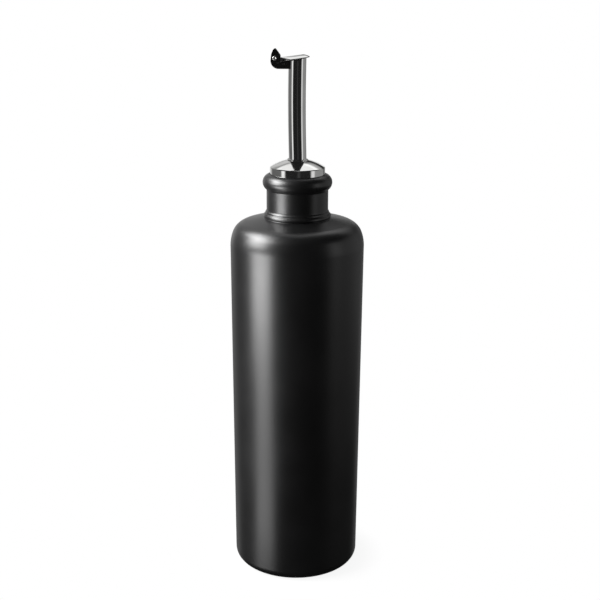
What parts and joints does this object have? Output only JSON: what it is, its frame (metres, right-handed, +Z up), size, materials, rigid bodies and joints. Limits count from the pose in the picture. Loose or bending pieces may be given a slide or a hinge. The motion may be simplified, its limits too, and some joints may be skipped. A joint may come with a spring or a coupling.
{
  "type": "ceramic oil bottle",
  "caption": "Tall black ceramic bottle for cooking oil, with a steel pourer whose hinged flap shuts the spout.",
  "frame": {"origin": "centre of the flat base", "axes": "+Z up along the bottle, -X towards the flap's hinge, the hinge pin along Y"},
  "size_m": [0.07, 0.07, 0.2795],
  "materials": {
    "black_glaze": "satin",
    "polished_steel": "mirror",
    "dark_steel": "semi-gloss",
    "rivet_steel": "satin"
  },
  "bodies": {
    "bottle": {"bottle": "black_glaze", "pourer_cap": "polished_steel", "spout_tube": "polished_steel", "flap_bracket": "dark_steel", "hinge_pin": "rivet_steel"},
    "flap": {"flap": "polished_steel"}
  },
  "joints": [
    {"name": "flap_hinge", "type": "hinge", "parent": "bottle", "child": "flap", "pos_m": [-0.0116, 0, 0.27501], "axis": [0, -1, 0], "range_deg": [0, 84]}
  ]
}
